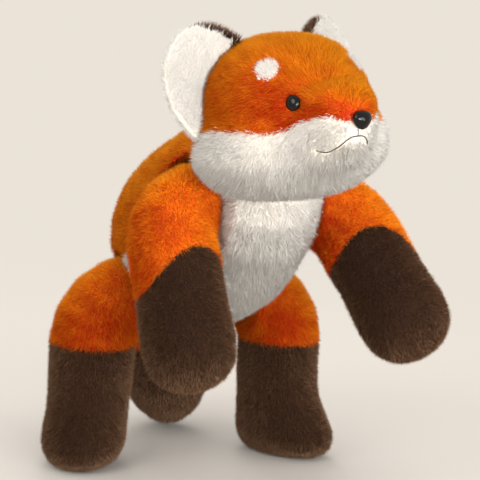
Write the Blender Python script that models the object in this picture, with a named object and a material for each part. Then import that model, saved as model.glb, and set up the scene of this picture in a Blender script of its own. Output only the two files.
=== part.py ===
"""A plush fox: sewn fur covers over stuffing, with a turning head and swinging legs, tail and ears.

It faces -Y and stands on its hind paws. Its left side is at +X, and the floor is at Z = 0.
"""

import math

import bmesh
import bpy
import numpy as np
from mathutils import Matrix, Vector

# Cloth and the gaps between pieces
GAP = 0.0003
FUR_CLOTH = 0.005
THREAD = 0.0022
OVERRUN = 0.02

# Trunk: where the legs and the neck join it
SHOULDER_FORWARD = 0.074
SHOULDER_HEIGHT = 0.268
SHOULDER_FLAT = 0.048
HIP_BACK = 0.062
HIP_HEIGHT = 0.160
HIP_FLAT = 0.056
LOIN_RISE = 0.045
RUMP_REACH = 0.086
RUMP_DROP = 0.016
TRUNK_HALF_WIDTH = 0.080
TRUNK_HALF_HEIGHT = 0.083
NECK_BEND = 0.070
LOIN_BEND = 0.100
LOIN_SLOPE = 0.022
BELLY_DROP = 0.020
# Rows: place along, half width, half height, squareness
TRUNK_SHARES = (
    (0.00, 0.00, 0.00, 2.1),
    (0.03, 0.42, 0.42, 2.1),
    (0.09, 0.70, 0.72, 2.2),
    (0.20, 0.93, 0.94, 2.3),
    (0.34, 1.01, 1.04, 2.3),
    (0.50, 1.01, 1.03, 2.3),
    (0.64, 0.95, 0.97, 2.3),
    (0.80, 0.85, 0.88, 2.3),
    (0.92, 0.74, 0.75, 2.2),
    (1.00, 0.60, 0.58, 2.1),
)
# How far the legs swing, as pitch below level: highest, lowest
FORELEG_SWING_DEG = (28.0, 84.0)
HINDLEG_SWING_DEG = (62.0, 118.0)
SWING_CLEAR = 0.0025
ROOM_STEPS = 6

# Head: measured from its middle
HEAD_FORWARD = 0.146
HEAD_SIDE = -0.012
HEAD_HEIGHT = 0.357
HEAD_TURN_DEG = 11.0
HEAD_TILT_DEG = 6.0
HEAD_TOP = 0.066
HEAD_CHIN = 0.070
CROWN_HALF_WIDTH = 0.074
CHEEK_HALF_WIDTH = 0.096
BROW_REACH = 0.065
CHEEK_REACH = 0.067
NAPE_REACH = 0.075
CHEEK_START = -0.002
CHEEK_FULL = -0.038
CROWN_TAPER_SHARE = 0.80
CHIN_TAPER_SHARE = 0.52
MUZZLE_REACH = 0.033
MUZZLE_HEIGHT = 0.000
MUZZLE_HALF_WIDTH = 0.038
MUZZLE_RISE = 0.037
MUZZLE_DROP = 0.040
MUZZLE_EDGE_POWER = 1.8
FRONT_DENSITY_SHARE = 0.35
NECK_PITCH_DEG = 48.0
NECK_DEPTH = 0.058
# The seam between the crown and the cheeks, seen from the side: forward, up
FACE_SEAM_SHARES = (
    (1.60, 0.01),
    (0.97, 0.01),
    (0.87, 0.06),
    (0.77, 0.05),
    (0.67, 0.01),
    (0.59, -0.05),
    (0.48, -0.09),
    (0.14, -0.09),
    (-0.16, -0.11),
    (-0.30, -0.40),
    (-0.20, -1.40),
    (1.60, -1.40),
)
FACE_SCALE = 0.100

# Eyes, nose and their washers
EYE_SIDE = 0.0400
EYE_UP = 0.016
EYE_RADIUS = 0.0070
EYE_BULGE = 0.0045
EYE_SEAT = 0.0015
DOME_TURNS = (0.35, 0.75, 1.15)
STUD_FOOT_SHARE = 0.9
NOSE_UP = 0.003
NOSE_RADIUS = 0.0080
NOSE_LOBE_SHARE = 0.07
NOSE_BULGE = 0.0060
NOSE_SEAT = 0.0020
SHANK_RADIUS = 0.0022
SHANK_LENGTH = 0.011
WASHER_RADIUS = 0.0065
WASHER_THICK = 0.0014

# Mouth and brow spots: sideways, up
MOUTH_SHARES = (
    (-0.28, -0.225),
    (-0.24, -0.260),
    (-0.18, -0.268),
    (-0.11, -0.215),
    (-0.05, -0.160),
    (0.00, -0.140),
)
LIP_UP = -0.0140
LIP_POINTS = 3
SPOT_SIDE = 0.046
SPOT_UP = 0.043
SPOT_HALF_WIDTH = 0.0108
SPOT_HALF_HEIGHT = 0.0092
SPOT_POINT_SHARE = 0.22
SPOT_POINT_DEG = 225.0
SPOT_TOP_SHARE = 0.6

# Ears: the foot of the ear runs along the head from its crown end to its cheek end
EAR_CROWN_END = (-0.018, 0.032, 0.056)
EAR_CHEEK_END = (-0.015, 0.076, -0.022)
EAR_CORNER = (-0.036, 0.074, 0.060)
EAR_HEIGHT = 0.053
EAR_CUP = 0.011
EAR_THICK = 0.0045
EAR_EDGE = 0.0012
EAR_GAP = 0.0007
EAR_PIVOT_UP = 0.006
EAR_FOLD_DEG = 12.0
# The middle of its cup: along, out. Its rings from the middle to the edge
EAR_MIDDLE_SHARES = (0.05, 0.40)
EAR_RING_SHARES = (0.0, 0.6, 1.0)
# Outline: along the foot in halves of it, out in heights of the ear
EAR_OUTLINE_SHARES = (
    (1.00, -0.27),
    (1.05, 0.10),
    (1.08, 0.45),
    (1.00, 0.78),
    (0.78, 0.98),
    (0.45, 1.06),
    (0.05, 1.04),
    (-0.35, 0.88),
    (-0.68, 0.62),
    (-0.92, 0.28),
    (-1.00, 0.02),
    (-1.00, -0.27),
)

# Forelegs: right, left
FORELEG_PITCH_DEG = (55.0, 41.0)
FORELEG_SPLAY_DEG = (1.0, 8.0)
FORELEG_ROOT = 0.037
FORELEG_LENGTH = 0.172
FORELEG_SWELL_SHARE = 1.08
# Rows from the end of the shoulder bend to the tip: place along, radius, toe
FORELEG_SHARES = (
    (0.00, 1.04, 0.00),
    (0.17, 1.05, 0.00),
    (0.34, 1.02, 0.00),
    (0.52, 1.04, 0.00),
    (0.70, 1.08, 0.00),
    (0.85, 1.00, 0.00),
    (0.945, 0.74, 0.00),
    (0.986, 0.40, 0.00),
    (1.00, 0.00, 0.00),
)
FORELEG_SEAM_ROW = 1

# Hind legs: right, left
HINDLEG_SPLAY_DEG = (0.0, 0.0)
HINDLEG_ROOT = 0.039
HINDLEG_SWELL_SHARE = 1.08
TOE_TURN_DEG = (34.0, 38.0)
TOE_REACH = 0.030
TOE_SHARE = 0.5
# Rows from the end of the hip bend to the sole: place along, radius, toe
HINDLEG_SHARES = (
    (0.00, 1.04, 0.00),
    (0.10, 1.03, 0.00),
    (0.28, 1.02, 0.04),
    (0.48, 0.98, 0.20),
    (0.65, 0.98, 0.58),
    (0.80, 0.99, 0.90),
    (0.92, 0.86, 1.00),
    (0.985, 0.55, 0.90),
    (1.00, 0.24, 0.60),
)
HINDLEG_SEAM_ROW = 0
BEND_CLEAR = 0.004
BEND_STEPS = 4

# Tail: from its pivot in the rump to its tip
TAIL_ROOT = 0.025
TAIL_SEAT_ROW = 1
TAIL_PROUD_SHARE = 0.60
TAIL_LEAVE_DEG = 40.0
TAIL_RADIUS = 0.048
TAIL_SWELL = 0.045
TAIL_HANG = 0.080
TAIL_TIP_BACK = 0.170
TAIL_TIP_HEIGHT = 0.004
TAIL_TIP_SIDE = 0.028
TAIL_SHARES = (
    (0.00, 0.00),
    (0.03, 0.28),
    (0.11, 0.53),
    (0.26, 0.66),
    (0.44, 0.90),
    (0.62, 1.00),
    (0.80, 0.93),
    (0.92, 0.66),
    (0.98, 0.33),
    (1.00, 0.00),
)
TAIL_SEAM_ROW = 4

# How finely the forms are drawn
TRUNK_SIDES = 20
HEAD_SIDES = 24
HEAD_ROWS = 13
EAR_POINTS = 18
LIMB_SIDES = 16
SMALL_SIDES = 14
CORE_ROW_STEPS = 2
SMOOTH_ANGLE_DEG = 40.0
NORMAL_STEP_DEG = 0.6
SEAT_SIDES = 24

COLOURS = {
    "orange_fur": ((0.78, 0.20, 0.02, 1.0), 0.95),
    "cream_fur": ((0.86, 0.82, 0.75, 1.0), 0.95),
    "brown_fur": ((0.075, 0.036, 0.020, 1.0), 0.95),
    "black_gloss": ((0.006, 0.005, 0.005, 1.0), 0.12),
    "dark_thread": ((0.045, 0.035, 0.030, 1.0), 0.80),
    "white_fibre": ((0.85, 0.85, 0.83, 1.0), 0.95),
    "clear_plastic": ((0.75, 0.75, 0.72, 1.0), 0.35),
}

ACROSS = Vector((1, 0, 0))
UP = Vector((0, 0, 1))
SIDES = (("right", -1), ("left", 1))
NECK_PITCH = math.radians(NECK_PITCH_DEG)
NECK = Vector((0, -math.cos(NECK_PITCH), math.sin(NECK_PITCH)))
HEAD_MIDDLE = Vector((HEAD_SIDE, -HEAD_FORWARD, HEAD_HEIGHT))
NECK_MIDDLE = HEAD_MIDDLE - NECK * NECK_DEPTH
TURN = math.radians(HEAD_TURN_DEG)
TILT = math.radians(HEAD_TILT_DEG)
FORWARD = Vector((math.sin(TURN), -math.cos(TURN), 0))
LEVEL = Vector((math.cos(TURN), math.sin(TURN), 0))
LEFTWARD = LEVEL * math.cos(TILT) + UP * math.sin(TILT)
CROWNWARD = UP * math.cos(TILT) - LEVEL * math.sin(TILT)


def clear_scene():
    for thing in list(bpy.data.objects):
        bpy.data.objects.remove(thing)


def material(name):
    found = bpy.data.materials.get(name)
    if found:
        return found
    colour, roughness = COLOURS[name]
    made = bpy.data.materials.new(name)
    made.use_nodes = True
    shader = made.node_tree.nodes["Principled BSDF"]
    shader.inputs["Base Color"].default_value = colour
    shader.inputs["Roughness"].default_value = roughness
    shader.inputs["Metallic"].default_value = 0.0
    return made


def empty(name, place, parent=None):
    made = bpy.data.objects.new(name, None)
    made.parent = parent
    made.location = place - (parent.matrix_world.translation if parent else Vector())
    bpy.context.collection.objects.link(made)
    bpy.context.view_layer.update()
    return made


def mesh_of_rows(name, rows, looped=False):
    """A closed mesh through rings of points. A ring of one point is a pole, and two poles stay apart.

    A ring may have twice as many points as the next, or as few as half."""
    points, faces, starts = [], [], []
    for row in rows:
        starts.append(len(points))
        points.extend(tuple(p) for p in row)
    pairs = [(i, i + 1) for i in range(len(rows) - 1)]
    if looped:
        pairs.append((len(rows) - 1, 0))
    for a, b in pairs:
        count = max(len(rows[a]), len(rows[b]))
        if count == 1:
            continue
        for j in range(count):
            k = (j + 1) % count
            corners = [starts[a] + i * len(rows[a]) // count for i in (j, k)]
            corners += [starts[b] + i * len(rows[b]) // count for i in (k, j)]
            faces.append(tuple(dict.fromkeys(corners)))
    mesh = bpy.data.meshes.new(name)
    mesh.from_pydata(points, [], faces)
    return outward(mesh)


def outward(mesh):
    """Turns the faces outward, splits the quads and shades the mesh smooth."""
    shape = bmesh.new()
    shape.from_mesh(mesh)
    bmesh.ops.recalc_face_normals(shape, faces=shape.faces)
    bmesh.ops.triangulate(shape, faces=shape.faces)
    shape.to_mesh(mesh)
    shape.free()
    mesh.shade_smooth()
    mesh.set_sharp_from_angle(angle=math.radians(SMOOTH_ANGLE_DEG))
    return mesh


def piece(name, mesh, look, pivot):
    """A named piece that moves with the empty at its joint."""
    made = bpy.data.objects.new(name, mesh)
    bpy.context.collection.objects.link(made)
    for vertex in mesh.vertices:
        vertex.co -= pivot.matrix_world.translation
    made.parent = pivot
    mesh.name = name
    mesh.materials.clear()
    mesh.materials.append(material(look))
    return made


def cutter(name, mesh, pivot):
    made = bpy.data.objects.new(name, mesh)
    bpy.context.collection.objects.link(made)
    for vertex in mesh.vertices:
        vertex.co -= pivot.matrix_world.translation
    made.parent = pivot
    made.hide_render = True
    made.display_type = "WIRE"
    return made


def cut(target, tool, operation="DIFFERENCE"):
    change = target.modifiers.new(tool.name, "BOOLEAN")
    change.operation = operation
    change.solver = "EXACT"
    change.object = tool


def spread(table, steps):
    """A table's rows read evenly in row number along a smooth curve through them."""
    rows = np.array(table, float)
    last = len(rows) - 1
    out = []
    for place in np.linspace(0, last, steps):
        i = min(int(place), last - 1)
        t = place - i
        a, b, c, d = (rows[min(max(i + k, 0), last)] for k in (-1, 0, 1, 2))
        bow = 2 * a - 5 * b + 4 * c - d
        twist = 3 * (b - c) + d - a
        out.append(b + 0.5 * t * (c - a + t * (bow + t * twist)))
    return np.array(out)


def bend(points, t):
    """A place on a cubic curve through four control points, and its direction there."""
    a, b, c, d = points
    s = 1 - t
    place = a * s**3 + b * (3 * s * s * t) + c * (3 * s * t * t) + d * t**3
    way = (b - a) * (s * s) + (c - b) * (2 * s * t) + (d - c) * (t * t)
    return place, way.normalized()


def ring(middle, across, up, half_width, half_height, squareness, count):
    """A closed row of points round a soft square, from the across side."""
    out = []
    for j in range(count):
        angle = 2 * math.pi * j / count
        c, s = math.cos(angle), math.sin(angle)
        reach = (abs(c) ** squareness + abs(s) ** squareness) ** (-1 / squareness)
        out.append(middle + across * (half_width * reach * c) + up * (half_height * reach * s))
    return np.array([tuple(p) for p in out])


def circle(middle, across, up, radius, count):
    return ring(middle, across, up, radius, radius, 2, count)


def pole(place):
    """A row of one point."""
    return np.array([tuple(place)])


def inset(rows, depth):
    """The rows moved inward by a depth, square to the surface that they lie on."""
    count = max(len(row) for row in rows)
    full = [np.repeat(row, count, axis=0) if len(row) == 1 else row for row in rows]
    out = []
    for i, row in enumerate(full):
        before, after = full[max(i - 1, 0)], full[min(i + 1, len(full) - 1)]
        if len(rows[i]) == 1:
            inward = full[2 if i == 0 else -3].mean(axis=0) - row[0]
            out.append(row[:1] + depth * inward / np.linalg.norm(inward))
            continue
        along = after - before
        around = np.roll(row, -1, axis=0) - np.roll(row, 1, axis=0)
        normal = np.cross(around, along)
        normal /= np.linalg.norm(normal, axis=1)[:, None]
        middle = row.mean(axis=0)
        if ((row - middle) * normal).sum() < 0:
            normal = -normal
        out.append(row - depth * normal)
    return out


def between(rows, first, last, trim_first, trim_last):
    """The rows from first to last, with each end at a seam drawn in by half a gap."""
    out = [row.copy() for row in rows[first : last + 1]]
    for end, beside, wanted in ((0, 1, trim_first), (-1, -2, trim_last)):
        if wanted:
            step = out[beside] - out[end]
            out[end] = out[end] + step / np.linalg.norm(step, axis=1)[:, None] * (GAP / 2)
    return out


def cover(name, rows, lining, first, last):
    """A fur cover: its outside from first to last, and back along its lining."""
    top, end = first > 0 and len(rows[first]) > 1, last < len(rows) - 1
    outside = between(rows, first, last, top, end)
    inside = between(lining, first, last, top, end)
    return mesh_of_rows(name, outside + inside[::-1], looped=True)


def thinned(rows):
    """Fewer points in every ring, for the linings and the stuffing that nobody sees."""
    return [row if len(row) == 1 else row[::CORE_ROW_STEPS] for row in rows]


def flat_on(rows, index, point, normal):
    """Moves one row along a plane's normal until it lies in the plane."""
    n = np.array(normal)
    off = (rows[index] - np.array(point)) @ n
    rows[index] = rows[index] - off[:, None] * n


def middle_of(row):
    return row.mean(axis=0)[None]


def trunk_curve():
    neck_end = NECK_MIDDLE - NECK * GAP
    loin = Vector((0, HIP_BACK, HIP_HEIGHT + LOIN_RISE))
    rump = loin + Vector((0, RUMP_REACH, -RUMP_DROP))
    return (rump, rump + Vector((0, -LOIN_BEND, LOIN_SLOPE)), neck_end - NECK * NECK_BEND, neck_end)


def trunk_rows():
    """The trunk from the rump to the neck seam."""
    curve = trunk_curve()
    rows = []
    for place, wide_share, high_share, square in TRUNK_SHARES:
        middle, way = bend(curve, place)
        if wide_share == 0:
            rows.append(pole(middle))
            continue
        wide, high = TRUNK_HALF_WIDTH * wide_share, TRUNK_HALF_HEIGHT * high_share
        rows.append(ring(middle, ACROSS, way.cross(ACROSS), wide, high, square, TRUNK_SIDES))
    return rows


def leg_room(side, joint, radius, swing, grow):
    """A block beside the trunk that a leg needs as it swings between its two pitches."""
    high, low = (math.radians(a) for a in swing)
    start, end = math.pi / 2 + high, low - math.pi / 2
    step = (end - start) / ROOM_STEPS
    size = (radius + SWING_CLEAR + grow) / math.cos(step / 2)
    middle = Vector((joint.y, joint.z))
    outline = []
    for i in range(ROOM_STEPS + 1):
        angle = start + step * i
        outline.append(middle + Vector((math.cos(angle), math.sin(angle))) * size)
    reach = 2 * TRUNK_HALF_HEIGHT
    ends = [Vector((-math.cos(p), -math.sin(p))) * reach for p in (low, (low + high) / 2, high)]
    outline += [outline[-1] + ends[0], middle + ends[1] * 2, outline[0] + ends[2]]
    flat = joint.x - side * (GAP + grow)
    return prism("room", [Vector((flat, *p)) for p in outline], ACROSS * (side * TRUNK_HALF_WIDTH))


def belly_prism(name, grow):
    """A block that takes in the belly and chest, its top parallel to the trunk's curve."""
    curve = trunk_curve()
    line, ways = [], []
    for place in np.linspace(0, 1, len(TRUNK_SHARES)):
        middle, way = bend(curve, place)
        line.append(middle - way.cross(ACROSS) * (BELLY_DROP - grow))
        ways.append(way)
    line[0] = line[0] - ways[0] * OVERRUN
    line[-1] = line[-1] + ways[-1] * OVERRUN
    drop = 2 * TRUNK_HALF_HEIGHT
    chest = line[-1] - ways[-1].cross(ACROSS) * drop
    rear = line[0] - ways[0].cross(ACROSS) * drop
    line += [chest, rear]
    half = TRUNK_HALF_WIDTH + OVERRUN
    return prism(name, [Vector((-half, p.y, p.z)) for p in line], ACROSS * (2 * half))


def prism(name, outline, sweep):
    """An outline swept straight to a closed block."""
    mesh = bpy.data.meshes.new(name)
    shape = bmesh.new()
    face = shape.faces.new([shape.verts.new(p) for p in outline])
    made = bmesh.ops.extrude_face_region(shape, geom=[face])["geom"]
    moved = [item for item in made if isinstance(item, bmesh.types.BMVert)]
    bmesh.ops.translate(shape, verts=moved, vec=sweep)
    shape.to_mesh(mesh)
    shape.free()
    return outward(mesh)


def ball(name, middle, radius, sides):
    """A round cutter whose flat facets all lie outside the radius."""
    reach = radius / math.cos(math.pi / sides) ** 2
    rows = []
    for i in range(sides // 2 + 1):
        angle = math.pi * i / (sides // 2)
        level = middle + UP * (reach * math.cos(angle))
        if i in (0, sides // 2):
            rows.append(pole(level))
        else:
            rows.append(circle(level, ACROSS, UP.cross(ACROSS), reach * math.sin(angle), sides))
    return mesh_of_rows(name, rows)


def leg_rooms(root, label, grow):
    """The four rooms for the legs, grown into the trunk by the depth of what lines them."""
    rooms = []
    fore_radius = FORELEG_ROOT * FORELEG_SWELL_SHARE
    hind_radius = HINDLEG_ROOT * HINDLEG_SWELL_SHARE
    for name, side in SIDES:
        front = leg_room(side, shoulder(side), fore_radius, FORELEG_SWING_DEG, grow)
        back = leg_room(side, hip(side), hind_radius, HINDLEG_SWING_DEG, grow)
        rooms.append(cutter(f"foreleg_{label}_{name}", front, root))
        rooms.append(cutter(f"hindleg_{label}_{name}", back, root))
    return rooms


def past_neck(rows, depth):
    """The rows with one more, pushed on past the neck seam, and closed there."""
    far = rows[-1] + np.array(NECK) * depth
    return rows + [far, middle_of(far)]


def build_trunk(root):
    rows = trunk_rows()
    neck_end = trunk_curve()[-1]
    inner = thinned(inset(rows, FUR_CLOTH))
    flat_on(inner, -1, neck_end, NECK)
    lining = cutter("trunk_lining", mesh_of_rows("trunk_lining", past_neck(inner, FUR_CLOTH)), root)
    for room in leg_rooms(root, "lined_room", FUR_CLOTH):
        cut(lining, room)
    seat = ball("tail_seat", tail_pivot(), TAIL_ROOT + GAP, SEAT_SIDES)
    seat = cutter("tail_seat", seat, root)
    build_trunk_covers(root, rows, lining, seat)
    core = thinned(inset(rows, FUR_CLOTH + GAP))
    flat_on(core, -1, neck_end, NECK)
    core = mesh_of_rows("torso_stuffing", core + [middle_of(core[-1])])
    stuffing = piece("torso_stuffing", core, "white_fibre", root)
    for room in leg_rooms(root, "stuffed_room", FUR_CLOTH + GAP):
        cut(stuffing, room)
    cut(stuffing, seat)


def build_trunk_covers(root, rows, lining, seat):
    """The back and the belly, parted along the flanks and hollowed for what they hold."""
    solid = mesh_of_rows("trunk", rows + [middle_of(rows[-1])])
    rooms = leg_rooms(root, "room", 0)
    back = piece("torso_back", solid.copy(), "orange_fur", root)
    belly = piece("torso_belly", solid, "cream_fur", root)
    cut(back, cutter("belly_cut_wide", belly_prism("belly_cut_wide", GAP), root))
    cut(belly, cutter("belly_cut_close", belly_prism("belly_cut_close", 0), root), "INTERSECT")
    for target in (back, belly):
        for room in rooms:
            cut(target, room)
        cut(target, lining)
        cut(target, seat)


def smooth_step(value):
    t = min(max(value, 0.0), 1.0)
    return t * t * (3 - 2 * t)


def head_section(rise):
    """The head's half width, front reach, back reach and height at a latitude."""
    high = rise > 0
    height = (HEAD_TOP if high else HEAD_CHIN) * math.sin(rise)
    fade = max(math.cos(rise), 0.0) ** (CROWN_TAPER_SHARE if high else CHIN_TAPER_SHARE)
    full = smooth_step((CHEEK_START - height) / (CHEEK_START - CHEEK_FULL))
    wide = CROWN_HALF_WIDTH + (CHEEK_HALF_WIDTH - CROWN_HALF_WIDTH) * full
    front = BROW_REACH + (CHEEK_REACH - BROW_REACH) * full
    return wide * fade, front * fade, NAPE_REACH * fade, height


def muzzle_swell(side, height):
    """How far the muzzle stands out of the face at a place on it."""
    tall = MUZZLE_RISE if height > MUZZLE_HEIGHT else MUZZLE_DROP
    off = (side / MUZZLE_HALF_WIDTH) ** 2 + ((height - MUZZLE_HEIGHT) / tall) ** 2
    return MUZZLE_REACH * math.exp(-(off**MUZZLE_EDGE_POWER))


def head_point(rise, turn):
    """A place on the head, forward, leftward and up of its middle. Turn 0 is its front."""
    wide, front, back, height = head_section(rise)
    side = wide * math.sin(turn)
    ahead = (front if math.cos(turn) > 0 else back) * math.cos(turn)
    if ahead > 0:
        ahead += muzzle_swell(side, height) * smooth_step(2 * ahead / BROW_REACH)
    return Vector((ahead, side, height))


def from_head(local):
    return HEAD_MIDDLE + FORWARD * local[0] + LEFTWARD * local[1] + CROWNWARD * local[2]


def head_rows():
    rows = []
    for i in range(HEAD_ROWS):
        rise = math.pi / 2 - math.pi * i / (HEAD_ROWS - 1)
        if i in (0, HEAD_ROWS - 1):
            rows.append(pole(from_head((0, 0, -HEAD_CHIN if i else HEAD_TOP))))
            continue
        row = []
        for j in range(HEAD_SIDES):
            even = 2 * math.pi * j / HEAD_SIDES
            turn = even - FRONT_DENSITY_SHARE * math.sin(even)
            row.append(tuple(from_head(head_point(rise, turn))))
        rows.append(np.array(row))
    return rows


def above_neck(rows, drop):
    """The rows with all that is past the neck seam pressed flat on it, or on a plane below it."""
    n = np.array(NECK)
    point = np.array(NECK_MIDDLE) - n * drop
    return [row - np.minimum((row - point) @ n, 0)[:, None] * n for row in rows]


def on_head(rise, turn, lift):
    """A place on the head by its two angles, raised off the fur, and the normal there."""
    step = math.radians(NORMAL_STEP_DEG)
    across = from_head(head_point(rise, turn + step)) - from_head(head_point(rise, turn - step))
    up = from_head(head_point(rise + step, turn)) - from_head(head_point(rise - step, turn))
    normal = across.cross(up).normalized()
    if normal.dot(FORWARD) < 0:
        normal = -normal
    return from_head(head_point(rise, turn)) + normal * lift, normal


def face_angles(side, height):
    """The two angles of a place on the front of the head."""
    rise = math.asin(height / (HEAD_TOP if height > 0 else HEAD_CHIN))
    return rise, math.asin(side / head_section(rise)[0])


def on_face(side, height, lift=0.0):
    """A place on the front of the head by its side and height, raised off the fur, and its normal."""
    return on_head(*face_angles(side, height), lift)


def turned(name, outline, place, axis, lobe=0.0, looped=False):
    """An outline of radius and height turned about an axis. A lobe makes it a soft triangle, point down."""
    level = CROWNWARD.cross(axis).normalized()
    tall = axis.cross(level)
    rows = []
    for radius, height in outline:
        middle = place + axis * height
        if radius == 0:
            rows.append(pole(middle))
            continue
        row = []
        for j in range(SMALL_SIDES):
            angle = 2 * math.pi * j / SMALL_SIDES - math.pi / 2
            size = radius * (1 + lobe * math.cos(3 * (angle + math.pi / 2)))
            aside, high = size * math.cos(angle), size * math.sin(angle)
            row.append(tuple(middle + level * aside + tall * high))
        rows.append(np.array(row))
    return mesh_of_rows(name, rows, looped)


def stud_outline(radius, bulge, seat):
    """A domed stud with a shank, such as a toy's eye, from the end of its shank to its crown."""
    dome = [(radius * math.cos(a), bulge * math.sin(a)) for a in DOME_TURNS]
    shank = [(0, -SHANK_LENGTH), (SHANK_RADIUS, -SHANK_LENGTH), (SHANK_RADIUS, -seat)]
    return shank + [(radius * STUD_FOOT_SHARE, -seat), (radius, 0)] + dome + [(0, bulge)]


def pocket_outline(radius, seat):
    """The room that a stud and its washer need in the cover and the stuffing."""
    hole = SHANK_RADIUS + GAP
    wide = WASHER_RADIUS + GAP
    top = -FUR_CLOTH + 2 * GAP
    low = top - WASHER_THICK - 2 * GAP
    end = -SHANK_LENGTH - GAP
    mouth = radius + 2 * GAP
    return [
        (0, end),
        (hole, end),
        (hole, low),
        (wide, low),
        (wide, top),
        (hole, top),
        (hole, -seat - GAP),
        (mouth, -seat - GAP),
        (mouth, FUR_CLOTH),
        (0, FUR_CLOTH),
    ]


def washer_outline():
    top = -FUR_CLOTH + GAP
    low = top - WASHER_THICK
    hole = SHANK_RADIUS + GAP
    return [(hole, low), (WASHER_RADIUS, low), (WASHER_RADIUS, top), (hole, top)]


def face_prism(name, grow):
    """The block of the head that is cheeks and muzzle, its edge moved out by a little."""
    points = [Vector((f * FACE_SCALE, u * FACE_SCALE)) for f, u in FACE_SEAM_SHARES]
    moved = []
    for i, point in enumerate(points):
        before, after = points[i - 1], points[(i + 1) % len(points)]
        a, b = (point - before).normalized(), (after - point).normalized()
        normal = Vector((-a.y - b.y, a.x + b.x)).normalized()
        lean = normal.dot(Vector((-a.y, a.x)))
        moved.append(point + normal * (-grow / lean))
    half = CHEEK_HALF_WIDTH + OVERRUN
    return prism(name, [from_head((p.x, -half, p.y)) for p in moved], LEFTWARD * (2 * half))


def add_stud(kind, ending, sizes, spot, pivot, targets):
    """A moulded eye or nose with its washer, and room for both in the pieces that it is fixed to."""
    radius, bulge, seat, lobe = sizes
    stud = turned(kind, stud_outline(radius, bulge, seat), *spot, lobe)
    piece(f"{kind}{ending}", stud, "black_gloss", pivot)
    washer = turned("washer", washer_outline(), *spot, looped=True)
    piece(f"{kind}_washer{ending}", washer, "clear_plastic", pivot)
    pocket = turned("pocket", pocket_outline(radius * (1 + lobe), seat), *spot)
    room = cutter(f"{kind}_pocket{ending}", pocket, pivot)
    for target in targets:
        cut(target, room)


def build_head(pivot):
    full = head_rows()
    rows = above_neck(full, 0)
    inner = above_neck(thinned(inset(full, FUR_CLOTH)), FUR_CLOTH)
    lining = cutter("head_lining", mesh_of_rows("head_lining", inner), pivot)
    crown = piece("head_crown", mesh_of_rows("head_crown", rows), "orange_fur", pivot)
    cut(crown, lining)
    cut(crown, cutter("face_cut_wide", face_prism("face_cut_wide", GAP), pivot))
    face = piece("head_cheeks", mesh_of_rows("head_cheeks", rows), "cream_fur", pivot)
    cut(face, lining)
    cut(face, cutter("face_cut_close", face_prism("face_cut_close", 0), pivot), "INTERSECT")
    core = above_neck(thinned(inset(full, FUR_CLOTH + GAP)), 0)
    stuffing = piece("head_stuffing", mesh_of_rows("head_stuffing", core), "white_fibre", pivot)
    eye = (EYE_RADIUS, EYE_BULGE, EYE_SEAT, 0)
    for name, side in SIDES:
        spot = on_face(EYE_SIDE * side, EYE_UP)
        add_stud("eye", f"_{name}", eye, spot, pivot, (crown, stuffing))
        build_spot(name, side, pivot)
    nose = (NOSE_RADIUS, NOSE_BULGE, NOSE_SEAT, NOSE_LOBE_SHARE)
    add_stud("nose", "", nose, on_face(0, NOSE_UP), pivot, (crown, face, stuffing))
    build_mouth(pivot)


def build_spot(name, side, pivot):
    """A pale spot above an eye, sewn on the crown, with a point towards the nose."""
    rise, turn = face_angles(SPOT_SIDE * side, SPOT_UP)
    wide = math.hypot(*head_point(rise, turn).xy)
    foot, top = GAP * 2, THREAD + GAP
    layers = []
    for share, lift in ((0, foot), (1, foot), (1, THREAD), (SPOT_TOP_SHARE, top), (0, top)):
        row = []
        for j in range(SMALL_SIDES if share else 1):
            angle = 2 * math.pi * j / SMALL_SIDES
            pointed = max(math.cos(angle - math.radians(SPOT_POINT_DEG)), 0) ** 3
            size = (1 + SPOT_POINT_SHARE * pointed) * share
            out = math.cos(angle) * SPOT_HALF_WIDTH * size * side / wide
            high = math.sin(angle) * SPOT_HALF_HEIGHT * size / HEAD_TOP
            row.append(tuple(on_head(rise + high, turn + out, lift)[0]))
        layers.append(np.array(row))
    piece("brow_spot_" + name, mesh_of_rows("brow_spot", layers), "cream_fur", pivot)


def thread(name, points, look, pivot):
    """A sewn line of thick thread along the face."""
    line = bpy.data.curves.new(name, "CURVE")
    line.dimensions = "3D"
    line.bevel_depth = THREAD / 2
    line.bevel_resolution = 1
    line.use_fill_caps = True
    path = line.splines.new("POLY")
    path.points.add(len(points) - 1)
    for target, point in zip(path.points, points):
        target.co = (*(point - pivot.matrix_world.translation), 1)
    made = bpy.data.objects.new(name, line)
    bpy.context.collection.objects.link(made)
    made.parent = pivot
    line.materials.append(material(look))
    return made


def build_mouth(pivot):
    half = [(s * FACE_SCALE, u * FACE_SCALE) for s, u in MOUTH_SHARES]
    whole = half + [(-s, u) for s, u in half[-2::-1]]
    lift = THREAD / 2 + GAP
    smile = [on_face(s, u, lift)[0] for s, u in spread(whole, 2 * len(whole) - 1)]
    thread("mouth_stitch", smile, "dark_thread", pivot)
    top = NOSE_UP - NOSE_RADIUS - THREAD
    low = LIP_UP + THREAD / 2 + GAP * 2
    lip = [on_face(0, u, lift)[0] for u in np.linspace(top, low, LIP_POINTS)]
    thread("lip_stitch", lip, "dark_thread", pivot)


def ear_frame(side):
    """The middle of the ear's foot, half the foot, and the ways along it, out and to its front."""
    def flip(p):
        return from_head((p[0], p[1] * side, p[2]))

    crown, cheek, corner = flip(EAR_CROWN_END), flip(EAR_CHEEK_END), flip(EAR_CORNER)
    middle = (crown + cheek) / 2
    along = (crown - cheek).normalized()
    out = corner - middle
    out = (out - along * out.dot(along)).normalized()
    front = out.cross(along) * side
    return middle, (crown - cheek).length / 2, along, out, front


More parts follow.
